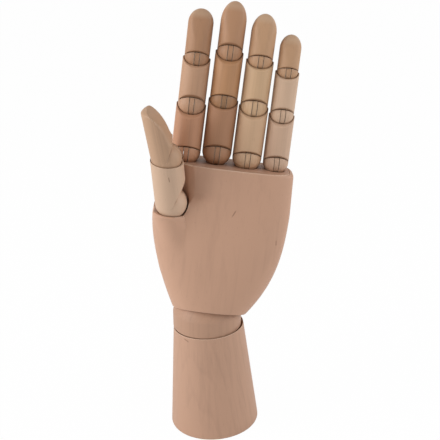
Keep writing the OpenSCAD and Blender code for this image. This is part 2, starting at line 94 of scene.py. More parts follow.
PALM_PIVOT = (-PIVOT_DROP * math.sin(math.radians(BARREL_LEAN)), 0.0,
              BARREL_PIVOT_Z - PIVOT_DROP * math.cos(math.radians(BARREL_LEAN)))
ON_BARREL = shift(0, 0, BARREL_PIVOT_Z) @ turn("Y", BARREL_LEAN)
ON_HAND = shift(*PALM_PIVOT) @ turn("Y", HAND_LEAN)
ON_THUMB = ON_HAND @ shift(*THUMB_AT) @ turn("Y", -THUMB_LEAN) @ turn("X", THUMB_FORWARD) @ turn("Z", 90)
ON_THUMB_TIP = ON_THUMB @ shift(0, 0, THUMB_L) @ turn("X", -THUMB_TIP_LEAN)


def on_finger(i, level):
    """Place of a finger's knuckle (level 0), middle joint (1) or tip joint (2)."""
    up = sum(PIECE_L[k][i] for k in range(level))
    return ON_HAND @ shift(FINGER_X[i], 0, KNUCKLE_Z[i]) @ turn("Y", -FINGER_LEAN[i]) @ shift(0, 0, up)


# Surfaces

def surface(name, rows, place, ring=False):
    """Mesh through a grid of points (row, column, xyz) in millimetres, put at the matrix `place`.
    Columns go round counter-clockwise seen from above. Rows go from the lower pole, up the outside and
    down the inside to the inner pole; the first and last row are one point each. With ring=True the
    rows close on themselves, as on a piece with a bore right through."""
    rows = np.asarray(rows, float)
    n, m = rows.shape[:2]
    columns = np.arange(m)
    beside = (columns + 1) % m
    if ring:
        points = rows.reshape(-1, 3)
        here = (np.arange(n) * m)[:, None]
        above = (np.roll(np.arange(n), -1) * m)[:, None]
        fans = []
    else:
        points = np.vstack([rows[0].mean(0), rows[1:-1].reshape(-1, 3), rows[-1].mean(0)])
        here = (1 + np.arange(n - 3) * m)[:, None]
        above = here + m
        last = len(points) - 1
        top = 1 + (n - 3) * m
        fans = np.vstack([
            np.stack([np.zeros(m, int), 1 + beside, 1 + columns], 1),
            np.stack([top + columns, top + beside, np.full(m, last)], 1)]).tolist()
    quads = np.stack([here + columns, here + beside, above + beside, above + columns], -1).reshape(-1, 4)
    points = (points @ place[:3, :3].T + place[:3, 3]) * MM
    mesh = bpy.data.meshes.new(name)
    mesh.from_pydata(points.tolist(), [], quads.tolist() + fans)
    mesh.update()
    piece = bpy.data.objects.new(name, mesh)
    bpy.context.scene.collection.objects.link(piece)
    return piece


def line(start, end, steps, skip=1):
    """Straight stretch between two profile points of every column, with its steps closer at the ends."""
    s = (1 - np.cos(np.pi * np.linspace(0, 1, steps + 1)[skip:])) / 2
    return start + (end - start) * s[:, None, None]


def rounded(before, corner, after, size, steps=6):
    """Rounded corner of every column: a parabola that leaves the line from `before` and meets the line
    to `after`, each at `size` from the corner or at less than half of a shorter line."""
    back, ahead = before - corner, after - corner
    back_l = np.maximum(np.linalg.norm(back, axis=-1, keepdims=True), 1e-9)
    ahead_l = np.maximum(np.linalg.norm(ahead, axis=-1, keepdims=True), 1e-9)
    cut = np.minimum(size, 0.45 * np.minimum(back_l, ahead_l))
    start, end = corner + back / back_l * cut, corner + ahead / ahead_l * cut
    s = np.linspace(0, 1, steps + 1)[:, None, None]
    return (1 - s) ** 2 * start + 2 * s * (1 - s) * corner + s ** 2 * end


def arc(radius, centre_z, low, high, steps, skip=1):
    """Arc of a sphere on the axis, from elevation low to high, for every column."""
    angle = low + (high - low) * np.linspace(0, 1, steps + 1)[skip:, None]
    return np.stack([radius * np.cos(angle), centre_z + radius * np.sin(angle)], -1)


def profile_rows(profile, phi, centre_y=0.0):
    """Grid of points from profiles (row, column, radius and height), with the columns at the angles phi."""
    radius, height = profile[..., 0], profile[..., 1]
    return np.stack([radius * np.cos(phi), centre_y + radius * np.sin(phi), height + 0 * phi], -1)


def column_angles(count=COLUMNS):
    """Angles of the columns, half a step off the X axis so that no column lies in a saw cut's wall."""
    return (np.arange(count) + 0.5) * 2 * np.pi / count


def pair(radius, height, phi):
    """Profile point of every column from two numbers or arrays."""
    return np.stack([radius + 0 * phi, height + 0 * phi], -1)


def ball_rows(r, bevel, phi, pad=None, groove=KERF_DEPTH):
    """Lower end of a jointed piece: the ball from its pole to the cutter's groove, the bevelled opening
    above it on the palm side and that opening's rounded edge. The bevel is the plane z = forward *
    tan(bevel), so in a column whose direction has the forward share f it is the line z = radius * f *
    tan(bevel). The groove lies under it, between that line and a flatter one. Where the pad cuts the
    piece, the edge is where the pad meets the bevel, found by halving."""
    forward = np.maximum(-np.sin(phi), 0)
    slope = forward * math.tan(math.radians(bevel))
    share = np.clip(slope / 0.2, 0, 1)
    depth = 0.02 + (groove - 0.02) * share
    crease_angle = np.arctan(slope)
    groove_angle = np.arctan(forward * math.tan(math.radians(bevel - KERF_ANGLE))) - 0.012 * (1 - share)
    low = arc(r, 0, np.full_like(phi, -math.pi / 2), groove_angle, 30, skip=0)
    floor = pair((r - depth) * np.cos(groove_angle), (r - depth) * np.sin(groove_angle), phi)
    crease = pair((r - depth) * np.cos(crease_angle), (r - depth) * np.sin(crease_angle), phi)
    out = np.full_like(phi, r)
    if pad is not None:
        near, out_max = np.zeros_like(phi), out.copy()
        for _ in range(40):
            middle = (near + out_max) / 2
            beyond = middle * forward > pad(middle * slope)
            near, out_max = np.where(beyond, near, middle), np.where(beyond, middle, out_max)
        out = np.where(r * forward > pad(r * slope), near, out)
    lift = 0.9 * (1 - np.clip(slope / 0.25, 0, 1)) ** 2
    edge = pair(out, out * slope + lift, phi)
    above = edge + pair(0, 4.0, phi)
    soft = rounded(crease, edge, above, BEVEL_EDGE)
    return np.concatenate([
        low, line(low[-1], floor, 2), line(floor, crease, 2), line(crease, soft[0], 5), soft[1:]])


def cup_rows(r, length, cup_r, slope, phi, drop):
    """Upper end of a jointed piece: the rounded rim, the lip and the cup down to the stem's hole.
    The lip is the line z = length - drop - radius * slope, and the cup a sphere round the next pivot.
    They meet where radius^2 + (drop + radius * slope)^2 = cup_r^2."""
    a = 1 + slope ** 2
    b = drop * slope
    lip_r = (-b + np.sqrt(b ** 2 - a * (drop ** 2 - cup_r ** 2))) / a
    outer = pair(r, length - drop - r * slope, phi)
    inner = pair(lip_r, length - drop - lip_r * slope, phi)
    start = np.arctan2(inner[:, 1] - length, inner[:, 0])
    end = np.full_like(phi, -math.acos(STEM_R / cup_r))
    cup = arc(cup_r, length, start, end, 20)
    rim = rounded(outer - pair(0, 4.0, phi), outer, inner, CUP_EDGE)
    lip = rounded(rim[-1], inner, cup[0], LIP_EDGE, steps=3)
    hole_z = length - cup_r - STEM_L
    hole = pair(STEM_R, hole_z, phi)
    return rim, np.concatenate([lip, cup, line(cup[-1], hole, 4), line(hole, pair(0, hole_z, phi), 2)])


def jointed_piece(name, place, d, length, bevel, next_d, next_bevel, drop=RIM_DROP, fall=0.0,
                  groove=KERF_DEPTH):
    """Finger or thumb piece with a slotted ball below and a cup above."""
    phi = column_angles()
    r = d / 2 - HAIR
    low = ball_rows(r, bevel, phi, groove=groove)
    forward = -np.sin(phi)
    slope = np.maximum(forward, 0) * math.tan(math.radians(next_bevel)) + forward * math.tan(math.radians(fall))
    rim, inside = cup_rows(r, length, next_d / 2 + CUP_GAP, slope, phi, drop)
    profile = np.concatenate([low, line(low[-1], rim[0], 14), rim[1:], inside])
    return cut_joint(surface(name, profile_rows(profile, phi), place), r, bevel, place)


def tip_piece(name, place, d, length, bevel, dome_h, pad_z, pad_curve_r, pad_in=0.0, soft=2.4,
              groove=KERF_DEPTH):
    """Tip piece: a slotted ball below, then sections that are a circle cut by the pad. The circle follows
    an elliptical dome, r * sqrt(1 - ((z - length + dome_h) / dome_h)^2). The pad is the line forward =
    sqrt(R^2 - (z - pad_z)^2) - (R - r) - pad_in, on a long arc of radius R that starts at pad_z. Each
    section is worked out from a centre half way between its front and its back, and the two lines meet in
    a rounded edge of the width `soft`."""
    phi = column_angles()
    r = d / 2 - HAIR

    def dome(z):
        return r * np.sqrt(np.clip(1 - np.clip((z - length + dome_h) / dome_h, 0, 1) ** 2, 0, 1))

    def pad(z):
        fall = np.clip(z - pad_z, 0, 0.999 * pad_curve_r)
        return np.sqrt(pad_curve_r ** 2 - fall ** 2) - (pad_curve_r - r) - pad_in

    low = ball_rows(r, bevel, phi, pad, groove)
    z = np.linspace(length - dome_h, length, 4001)
    top = z[np.nonzero(dome(z) + pad(z) > 1e-4)[0][-1]] if pad(length) < 0 else length
    start = low[-1, :, 1]
    z = start + (top - start) * np.sin(np.linspace(0, 1, 45)[1:, None] * np.pi / 2)
    circle, front = dome(z), np.minimum(pad(z), dome(z))
    centre = (circle - front) / 2
    forward = -np.sin(phi)
    to_circle = centre * forward + np.sqrt(np.clip(circle ** 2 - (centre * np.cos(phi)) ** 2, 0, None))
    to_pad = np.where(forward > 0.02, (pad(z) + centre) / np.maximum(forward, 0.02), 1e3)
    blend = np.clip((z - pad_z) / 8, 0, 1) * np.minimum(soft, 0.4 * (circle + front)) + 1e-6
    near = np.maximum(blend - np.abs(to_circle - to_pad), 0) / blend
    radius = np.minimum(to_circle, to_pad) - near ** 2 * blend / 4
    rows = np.stack([radius * np.cos(phi), centre + radius * np.sin(phi), z + 0 * phi], -1)
    rows = np.concatenate([profile_rows(low, phi), rows])
    return cut_joint(surface(name, rows, place), r, bevel, place)


def extruded(name, outline, half, place):
    """Closed prism: an outline in the plane of Y and Z, given counter-clockwise seen from +X,
    drawn out by `half` to both sides along X."""
    outline = np.asarray(outline, float)
    n = len(outline)
    left = np.column_stack([np.full(n, -half), outline])
    right = np.column_stack([np.full(n, half), outline])
    points = (np.vstack([left, right]) @ place[:3, :3].T + place[:3, 3]) * MM
    k = np.arange(n)
    beside = (k + 1) % n
    walls = np.stack([k, beside, beside + n, k + n], 1).tolist()
    mesh = bpy.data.meshes.new(name)
    mesh.from_pydata(points.tolist(), [], walls + [k[::-1].tolist(), (k + n).tolist()])
    mesh.update()
    piece = bpy.data.objects.new(name, mesh)
    bpy.context.scene.collection.objects.link(piece)
    return piece


def rod(name, radius, low, high, place, count=48):
    """Closed cylinder along the Z of `place`, used as a cutter."""
    phi = column_angles(count)
    profile = np.stack([pair(0, low, phi), pair(radius, low, phi), pair(radius, high, phi), pair(0, high, phi)])
    return surface(name, profile_rows(profile, phi), place)


def ball(name, radius, place, count=96):
    """Sphere round the origin of `place`, used as a cutter."""
    phi = column_angles(count)
    profile = arc(radius, 0, np.full_like(phi, -math.pi / 2), np.full_like(phi, math.pi / 2), count // 2, skip=0)
    return surface(name, profile_rows(profile, phi), place)


def combine(piece, tool, how="DIFFERENCE"):
    """Cuts the piece by a tool, joins it or keeps what they share, and clears the tool away."""
    step = piece.modifiers.new("cut", "BOOLEAN")
    step.object, step.operation, step.solver = tool, how, "EXACT"
    graph = bpy.context.evaluated_depsgraph_get()
    made = bpy.data.meshes.new_from_object(piece.evaluated_get(graph))
    piece.modifiers.clear()
    old, piece.data = piece.data, made
    bpy.data.meshes.remove(old)
    bpy.data.meshes.remove(tool.data)
    return piece


def cut_joint(piece, r, bevel, place):
    """Saws the tongue's slot through the ball and drills the hinge pin's blind hole.
    The slot's outline: the whole width under the pivot, a pocket round the pivot at the back and the
    opening up to the bevel at the front."""
    far = r + 3
    pocket = r - TONGUE_SINK + SLOT_GAP
    back = TONGUE_EYE_R + SLOT_GAP
    tilt = math.radians(bevel)
    sweep = np.linspace(math.acos(back / pocket), math.pi - tilt, 24)
    outline = [(-far, -far), (far, -far), (far, 0), (back, 0)]
    outline += [(pocket * math.cos(a), pocket * math.sin(a)) for a in sweep]
    outline += [(-far, far * math.tan(tilt))]
    combine(piece, extruded("slot", outline, TONGUE_T / 2 + SLOT_GAP, place))
    return combine(piece, rod("pin_hole", PIN_R, PIN_STOP - r, 2 * r, place @ turn("Y", 90)))


def finished(piece, angle=32):
    """Smooth shading, kept sharp where faces meet at more than `angle` degrees."""
    piece.data.shade_smooth()
    piece.data.set_sharp_from_angle(angle=math.radians(angle))
    return piece


def turned(name, profile, place, columns=192):
    """Turned piece with a bore right through: its closed profile is carried round the axis."""
    phi = column_angles(columns)
    return surface(name, profile_rows(np.concatenate(profile), phi), place, ring=True)


def make_stand():
    """Forearm stand: a cone with a rounded foot, a shallow cup in the top and a stepped bore."""
    phi = column_angles(192)
    foot, rim = pair(FOOT_R, 0, phi), pair(RIM_R, STAND_H, phi)
    land = pair(RIM_R - STAND_LAND, STAND_H, phi)
    recess = pair(RECESS_R, 0, phi)
    low = math.acos(SPRING_BORE_R / STAND_CUP_R)
    cup_start = math.acos((RIM_R - STAND_LAND) / STAND_CUP_R)
    cup = arc(STAND_CUP_R, BARREL_PIVOT_Z, np.full_like(phi, -cup_start), np.full_like(phi, -low), 24)
    foot_edge = rounded(recess, foot, rim, FOOT_EDGE)
    rim_edge = rounded(foot, rim, land, STAND_RIM_EDGE)
    ledge, step = pair(SPRING_BORE_R, RECESS_H, phi), pair(RECESS_R, RECESS_H, phi)
    return turned("forearm_stand_turned", [
        line(recess, foot_edge[0], 8, skip=0), foot_edge[1:], line(foot_edge[-1], rim_edge[0], 24), rim_edge[1:],
        cup, line(cup[-1], ledge, 10), line(ledge, step, 2), line(step, recess, 4)[:-1]], np.eye(4))


def make_barrel():
    """Wrist barrel: a short cylinder between two domes, with a wide bore."""
    phi = column_angles(192)
    foot_r = STAND_CUP_R - CUP_FIT
    low_edge = pair(BARREL_R, -math.sqrt(foot_r ** 2 - BARREL_R ** 2), phi)
    high_edge = pair(BARREL_R, -PIVOT_DROP + math.sqrt(BARREL_DOME_R ** 2 - BARREL_R ** 2), phi)
    low = arc(foot_r, 0, np.full_like(phi, -math.acos(BARREL_BORE_R / foot_r)),
              np.full_like(phi, -math.acos(BARREL_R / foot_r)), 16, skip=0)
    high = arc(BARREL_DOME_R, -PIVOT_DROP, np.full_like(phi, math.acos(BARREL_R / BARREL_DOME_R)),
               np.full_like(phi, math.acos(BARREL_BORE_R / BARREL_DOME_R)), 16)
    return turned("wrist_barrel_turned", [
        low[:-1], rounded(low[-2], low_edge, high_edge, BARREL_LOW_EDGE), line(low_edge, high_edge, 8)[:-1],
        rounded(low_edge, high_edge, high[0], BARREL_HIGH_EDGE), high[1:],
        line(high[-1], low[0], 8)[:-1]], ON_BARREL)


def smooth_min(a, b, soft):
    """Smaller of two reaches, rounded over where they differ by less than `soft`."""
    near = np.maximum(soft - np.abs(a - b), 0) / soft
    return np.minimum(a, b) - near ** 2 * soft / 4


def ring_hits(dx, dy, x, y, radius):
    """Distances at which rays from the axis enter and leave a circle; both are infinite where they miss."""
    along = x * dx + y * dy
    inside = radius ** 2 - (x ** 2 + y ** 2 - along ** 2)
    half = np.sqrt(np.clip(inside, 0, None))
    hit = (inside > 0) & (along > 0) & (radius > 0.1)
    return np.where(hit, along - half, np.inf), np.where(hit, along + half, -np.inf)


def make_palm():
    """Palm, as reaches from its axis in 360 directions at each height. The block's section is a superellipse
    whose half widths and thicknesses change as powers of the height. Below the socket's rim the mound is a
    circle that travels up and outwards, joined by a smooth maximum. Above the rim, the hollow beside the
    thumb and the thumb's room are circles taken off by smooth minima. Then the cups are cut."""
    count = 360
    angle = (np.arange(count) + 0.5) * 2 * np.pi / count
    c, s = np.cos(angle), np.sin(angle)
    rim_z = THUMB_AT[2] - THUMB_RIM_DROP
    base = turn("Y", -THUMB_LEAN) @ turn("X", THUMB_FORWARD)
    swings = [(base @ turn("Y", swing))[:3, 2] for swing in THUMB_SWINGS]
    room_r = ROOM_PLAY * (THUMB_D / 2 + THUMB_ROOM)

    def outline(z, above):
        t = z / PALM_H
        rise = z - PALM_RIM_Z
        grown_right = 1 - (1 - np.clip(rise / (RIGHT_FULL_Z - PALM_RIM_Z), 0, 1)) ** RIGHT_FULLNESS
        grown_left = 1 - (1 - np.clip(rise / (LEFT_FULL_Z - PALM_RIM_Z), 0, 1)) ** LEFT_FULLNESS
        taper_right = TOP_TAPER * np.clip((z - RIGHT_FULL_Z) / (PALM_H - RIGHT_FULL_Z), 0, 1)
        taper_left = 2 * TOP_TAPER * np.clip((z - LEFT_FULL_Z) / (PALM_H - LEFT_FULL_Z), 0, 1)
        inset = TOP_CORNER * (1 - np.sqrt(1 - np.clip((z - PALM_H) / TOP_CORNER + 1, 0, 1) ** 2))
        wide = np.where(c > 0, NECK_HALF_W + (PALM_RIGHT_W - NECK_HALF_W) * grown_right - taper_right,
                        NECK_HALF_W + (PALM_LEFT_W - NECK_HALF_W) * grown_left - taper_left) - inset
        deep = np.where(s > 0, NECK_HALF_T - (NECK_HALF_T - PALM_BACK) * t ** BACK_CURVE,
                        NECK_HALF_T - (NECK_HALF_T - PALM_FRONT) * t ** FRONT_CURVE)
        power = 2 / (2 + (TOP_SQUARENESS - 2) * t)
        x, y = wide * np.sign(c) * np.abs(c) ** power, deep * np.sign(s) * np.abs(s) ** power
        reach = np.hypot(x, y)
        dx, dy = x / reach, y / reach
        if above:
            for way in swings:
                climb = np.maximum(z - THUMB_AT[2], 0) / way[2]
                room = np.sqrt(np.clip(room_r ** 2 - np.clip(THUMB_AT[2] - z, 0, None) ** 2, 0, None))
                enter = ring_hits(dx, dy, THUMB_AT[0] + climb * way[0], THUMB_AT[1] + climb * way[1], room)[0]
                reach = smooth_min(reach, np.minimum(enter, FAR), ROOM_SOFT)
            side = np.where(dx < -0.05, (THUMB_SIDE - THUMB_AT[0]) / np.maximum(-dx, 0.05), FAR)
            reach = smooth_min(reach, side, SIDE_SOFT)
        else:
            climb = np.clip((z - MOUND_FOOT[2]) / (rim_z - MOUND_FOOT[2]), 0, 1)
            mx = MOUND_FOOT[0] + climb * (THUMB_AT[0] - MOUND_OUT - MOUND_FOOT[0])
            my = MOUND_FOOT[1] + climb * (THUMB_AT[1] + MOUND_BACK - MOUND_FOOT[1])
            mr = MOUND_FOOT_R + climb * (MOUND_R - MOUND_FOOT_R)
            mr = np.sqrt(np.clip(mr ** 2 - np.clip(MOUND_FOOT[2] - z, 0, None) ** 2, 0, None))
            mr = mr - MOUND_SHOULDER * (1 - np.sqrt(1 - np.clip((z - rim_z) / MOUND_SHOULDER + 1, 0, 1) ** 2))
            leave = np.maximum(ring_hits(dx, dy, mx, my, mr)[1], 0)
            reach = -smooth_min(-reach, -leave, MOUND_SOFT)
            left = np.maximum(wide, mr - mx) / np.maximum(-dx, 0.05)
            reach = np.where(dx < -0.05, smooth_min(reach, left, LEFT_SOFT), reach)
        lean = np.maximum(z - HOLLOW_AT[2], 0) * math.tan(math.radians(THUMB_LEAN))
        rising = np.clip((z - rim_z) / HOLLOW_RISE, 0, 1)
        ahead = (HOLLOW_WIDE_R - HOLLOW_R) + HOLLOW_LEAD * (1 - rising * rising * (3 - 2 * rising))
        enter = ring_hits(dx, dy, HOLLOW_AT[0] - lean, HOLLOW_AT[1] - ahead, HOLLOW_WIDE_R)[0]
        if above:
            reach = smooth_min(reach, np.minimum(enter, FAR), HOLLOW_SOFT)
        return reach * dx, reach * dy

    foot_z = np.full(count, PALM_RIM_Z)
    for _ in range(12):
        y = outline(foot_z, False)[1]
        foot_z = PALM_RIM_Z + np.maximum(-y, 0) * math.tan(math.radians(PALM_RIM_BEVEL))
    even = np.ones(count)
    low_top, corner_z = 20.0, PALM_H - TOP_CORNER
    near_rim = rim_z - MOUND_SHOULDER * (1 - np.sin(np.linspace(0, np.pi / 2, 8)))
    levels = [(foot_z + (low_top - foot_z) * k, False) for k in np.linspace(0, 1, 16)]
    levels += [(z * even, False) for z in np.linspace(low_top, rim_z - MOUND_SHOULDER, 40)[1:-1]]
    levels += [(z * even, False) for z in near_rim]
    levels += [(z * even, True) for z in np.linspace(rim_z, corner_z, 30)]
    levels += [(z * even, True) for z in corner_z + TOP_CORNER * np.sin(np.linspace(0, np.pi / 2, 9)[1:])]
    body = np.array([np.stack([*outline(z, above), z], -1) for z, above in levels])

    # Rounded lower rim, the lip and the wrist's cup
    cup_r = BARREL_DOME_R + CUP_FIT
    low_x, low_y = body[0, :, 0], body[0, :, 1]
    low_r = np.hypot(low_x, low_y)
    phi = np.arctan2(low_y, low_x)
    slope = np.maximum(-np.sin(phi), 0) * math.tan(math.radians(PALM_RIM_BEVEL))
    a, b = 1 + slope ** 2, PALM_RIM_Z * slope
    lip_r = (-b + np.sqrt(b ** 2 - a * (PALM_RIM_Z ** 2 - cup_r ** 2))) / a
    outer = np.stack([low_r, foot_z], -1)
    inner = np.stack([lip_r, PALM_RIM_Z + lip_r * slope], -1)
    side = np.stack([np.hypot(body[2, :, 0], body[2, :, 1]), body[2, :, 2]], -1)
    rim = rounded(inner, outer, side, PALM_RIM_EDGE)
    start = np.arctan2(inner[:, 1], inner[:, 0])
    cup = arc(cup_r, 0, np.full_like(phi, math.acos(EYE_SHANK_R / cup_r)), start, 24, skip=0)
    bore_z = cup_r + EYE_DEPTH
    bore = pair(EYE_SHANK_R, bore_z, phi)
    inside = np.concatenate([
        pair(0, bore_z, phi)[None], line(bore, cup[0], 4, skip=0), cup[1:], line(inner, rim[0], 4), rim[1:]])
    top = body[-1]
    top_r, top_phi = np.hypot(top[:, 0], top[:, 1]), np.arctan2(top[:, 1], top[:, 0])
    edge = rounded(np.stack([top_r, top[:, 2] - 3], -1), np.stack([top_r, top[:, 2]], -1),
                   np.stack([top_r * 0.5, top[:, 2]], -1), PALM_TOP_EDGE, steps=5)
    shrink = np.array([0.9, 0.7, 0.45, 0.2, 0])[:, None]
    lid = np.stack([edge[-1, :, 0] * shrink, edge[-1, :, 1] + 0 * shrink], -1)
    rows = np.concatenate([
        profile_rows(inside, phi), body[3:-1], profile_rows(edge, top_phi), profile_rows(lid, top_phi)])
    palm = surface("palm_carved", rows, ON_HAND)
    on_base = ON_HAND @ shift(*THUMB_AT) @ base
    sockets = [(ON_HAND @ shift(FINGER_X[i], 0, KNUCKLE_Z[i]) @ turn("Y", -FINGER_LEAN[i]), PIECE_D[0][i] / 2)
               for i in range(4)]
    for place, r in sockets + [(on_base, THUMB_D / 2)]:
        combine(palm, ball("cup", r + CUP_GAP, place))
        combine(palm, rod("stem_hole", STEM_R, -r - CUP_GAP - STEM_L, -r + 1, place))
    return palm


# Materials

# Waves per millimetre of the wood's patterns, along X, Y and Z
FIBRE_WAVES, STRIPE_WAVES, PATCH_WAVES = (1.0, 1.0, 0.02), (0.9, 0.9, 0.03), (0.22, 0.22, 0.006)
FLECK_WAVES, CLOUD_WAVES, BEND_WAVES = (2.4, 2.4, 0.2), (0.05, 0.05, 0.02), (0.05, 0.05, 0.008)
BAND_MM, BEND_MM, CLOUD_SWING, FLECK_SHARE, MARK_SHARE = 3.0, 5.0, 0.10, 0.3, 0.55
# The second colour on the next line is a painted highlight along sharp edges
FLECK_COLOUR, EDGE_HIGHLIGHT_COLOUR, PALE_END_COLOUR = "#6f4a33", "#ecd6bd", "#c9b096"
# The second colour on the next line is painted shade in cups, slots and creases, and it also colours the ball's
# dark grain stripes
MARK_COLOUR, SHADE_AND_STRIPE_COLOUR, DARK_BALL_COLOUR = "#6b452c", "#835a3b", "#3a2416"


def linear(code, level=1.0):
    """Linear colour of an sRGB hex value, times a level."""
    srgb = [int(code[k:k + 2], 16) / 255 for k in (1, 3, 5)]
    return [level * (v / 12.92 if v <= 0.04045 else ((v + 0.055) / 1.055) ** 2.4) for v in srgb] + [1.0]


def add(tree, kind, inputs=(), **settings):
    """Adds a node, sets its attributes and fills its inputs with values or with other nodes' outputs."""
    made = tree.nodes.new("ShaderNode" + kind)
    for key, value in settings.items():
        setattr(made, key, value)
    for key, value in dict(inputs).items():
        if isinstance(value, bpy.types.NodeSocket):
            tree.links.new(value, made.inputs[key])
        else:
            made.inputs[key].default_value = value
    return made


def ramp(tree, value, stops):
    """Colour ramp whose stops are (position, grey level)."""
    made = add(tree, "ValToRGB", {0: value})
    elements = made.color_ramp.elements
    while len(elements) < len(stops):
        elements.new(0.5)
    for element, (position, level) in zip(elements, stops):
        element.position = position
        element.color = (level, level, level, 1)
    return made.outputs[0]


def sanded_beech(name, tone, place, pith, seed, cups=(), own_r=0.0, bevel=None, inner=True, ball_level=1.0,
                 end=-0.16, marks=(), edge_r=0.6, rings=0.05, streak=0.09, broad=0.26, pale_from=None):
    """Sanded beech without varnish: matt, pale tan, with faint growth bands about 3 mm wide along the piece,
    broad soft streaks, fine fibres, a few short dark ray flecks about 0.3 mm wide and 3 mm long, browner end
    grain and a painted highlight that makes sharp edges lighter. Shade is painted dark inside each cup (a centre
    and a radius), in the own ball's slot and groove, and on the ball's palm side next to the bevel, the cup's rim
    and the slot. The ball's end grain shows dark stripes. `pith` is where the tree's core lies, in
    millimetres, and a tip is paler above the height `pale_from`."""
    material = bpy.data.materials.new(name)
    material.use_nodes = True
    tree = material.node_tree
    tree.nodes.clear()
    turned_by = Matrix(place.tolist()).to_euler("XYZ")
    where = add(tree, "TexCoord")
    # Millimetres from the piece's own pivot, Z along its grain
    local = add(tree, "Mapping", {
        "Vector": where.outputs["Object"], "Location": Vector(place[:3, 3]) * MM,
        "Rotation": turned_by, "Scale": (MM, MM, MM)}, vector_type="TEXTURE").outputs[0]

    def maths(operation, *values):
        """Result of a Math node."""
        return add(tree, "Math", dict(enumerate(values)), operation=operation).outputs[0]

    def vectors(operation, *values):
        """Result of a Vector Math node."""
        return add(tree, "VectorMath", dict(enumerate(values)), operation=operation).outputs[0]

    def measure(operation, *values):
        """Length, distance or dot product from a Vector Math node."""
        return add(tree, "VectorMath", dict(enumerate(values)), operation=operation).outputs["Value"]

    def noise(scale, detail=3.0, roughness=0.5):
        """Noise with its own number of waves per millimetre along X, Y and Z."""
        spread = vectors("MULTIPLY", offset, scale)
        return add(tree, "TexNoise", {
            "Vector": spread, "Scale": 1.0, "Detail": detail, "Roughness": roughness}).outputs[0]

    def fading(value, full, none):
        """One up to the value `full`, falling to nought at `none`."""
        return add(tree, "MapRange", {0: value, 1: full, 2: none, 3: 1.0, 4: 0.0}).outputs[0]

    def over_with(share, under, code):
        """The colour `under` with a share of an sRGB colour over it."""
        return add(tree, "MixRGB", {0: share, 1: under, 2: linear(code)}).outputs[0]

    def strongest(first, second):
        """Larger of two masks, of which the first may be missing."""
        return second if first is None else maths("MAXIMUM", first, second)

    offset = vectors("ADD", local, (37.0 * seed, 53.0 * seed, 29.0 * seed))

    # Growth bands: distance from the pith, bent by slow noise
    flat = vectors("MULTIPLY", local, (1, 1, 0))
    away = vectors("ADD", flat, (-pith[0], -pith[1], 0))
    bent = maths("MULTIPLY_ADD", noise(BEND_WAVES, 2.0), BEND_MM, measure("LENGTH", away))
    late = ramp(tree, maths("FRACT", maths("MULTIPLY", bent, 1 / BAND_MM)),
                [(0.0, 0.0), (0.62, 0.35), (0.88, 1.0), (1.0, 0.0)])
    fibre = noise(FIBRE_WAVES, 4.0, 0.62)
    patches = noise(PATCH_WAVES, 2.0, 0.6)
    fleck = ramp(tree, noise(FLECK_WAVES, 2.0, 0.6), [(0.68, 0.0), (0.76, 1.0)])
    cloud = noise(CLOUD_WAVES, 2.0)

    # End grain: faces across the fibres soak up more light
    facing = measure("DOT_PRODUCT", where.outputs["Normal"], Vector(place[:3, 2]))
    end_grain = ramp(tree, maths("ABSOLUTE", facing), [(0.6, 0.0), (1.0, 1.0)])

    level = maths("MULTIPLY_ADD", late, -rings, 1.0 + rings / 3)
    for pattern, swing in ((fibre, streak), (patches, broad / 2), (cloud, CLOUD_SWING)):
        level = maths("ADD", level, maths("MULTIPLY_ADD", pattern, 2 * swing, -swing))
    level = maths("MULTIPLY_ADD", end_grain, end, level)
    tinted = add(tree, "MixRGB", {0: level, 1: (0, 0, 0, 1), 2: linear(tone)}).outputs[0]
    colour = over_with(maths("MULTIPLY", fleck, FLECK_SHARE), tinted, FLECK_COLOUR)

    # Painted highlight on the edges: where the surface turns sharply within about half a millimetre it is painted
    # paler
    soft_normal = add(tree, "Bevel", {"Radius": edge_r * MM}, samples=6).outputs[0]
    match = measure("DOT_PRODUCT", soft_normal, add(tree, "NewGeometry").outputs["Normal"])
    colour = over_with(ramp(tree, match, [(0.80, 0.8), (0.985, 0.0)]), colour, EDGE_HIGHLIGHT_COLOUR)

    # A tip is paler towards its end
    if pale_from is not None:
        up = add(tree, "SeparateXYZ", {0: local}).outputs["Z"]
        paler_end = add(tree, "MapRange", {0: up, 1: pale_from, 2: pale_from + 3.0, 3: 0.0, 4: 0.35}).outputs[0]
        colour = over_with(paler_end, colour, PALE_END_COLOUR)

    # Knots and nicks: a dark streak at each mark (place, direction, half length and half width)
    for at, way, half_l, half_w in marks:
        from_mark = vectors("SUBTRACT", local, at)
        along = measure("DOT_PRODUCT", from_mark, way)
        length = measure("LENGTH", from_mark)
        square = maths("SUBTRACT", maths("MULTIPLY", length, length), maths("MULTIPLY", along, along))
        beside = maths("SQRT", maths("MAXIMUM", square, 0.0))
        spot = maths("MULTIPLY", fading(maths("ABSOLUTE", along), 0.5 * half_l, half_l),
                     fading(beside, 0.4 * half_w, half_w))
        colour = over_with(maths("MULTIPLY", spot, MARK_SHARE), colour, MARK_COLOUR)

    # Painted shade: dark insides of the cups, and of the ball's slot and groove
    shade = None
    for centre, radius in cups:
        near = measure("DISTANCE", local, centre)
        shade = strongest(shade, fading(near, radius + 0.1, radius + 0.45))
    if own_r:
        near = measure("LENGTH", local)
        on_ball = fading(near, own_r + 0.02, own_r + 0.12)
        if inner:
            shade = strongest(shade, fading(near, own_r - 0.35, own_r - 0.08))
        if ball_level < 1:
            colour = over_with(maths("MULTIPLY", on_ball, 1 - ball_level), colour, DARK_BALL_COLOUR)
        if bevel is not None:
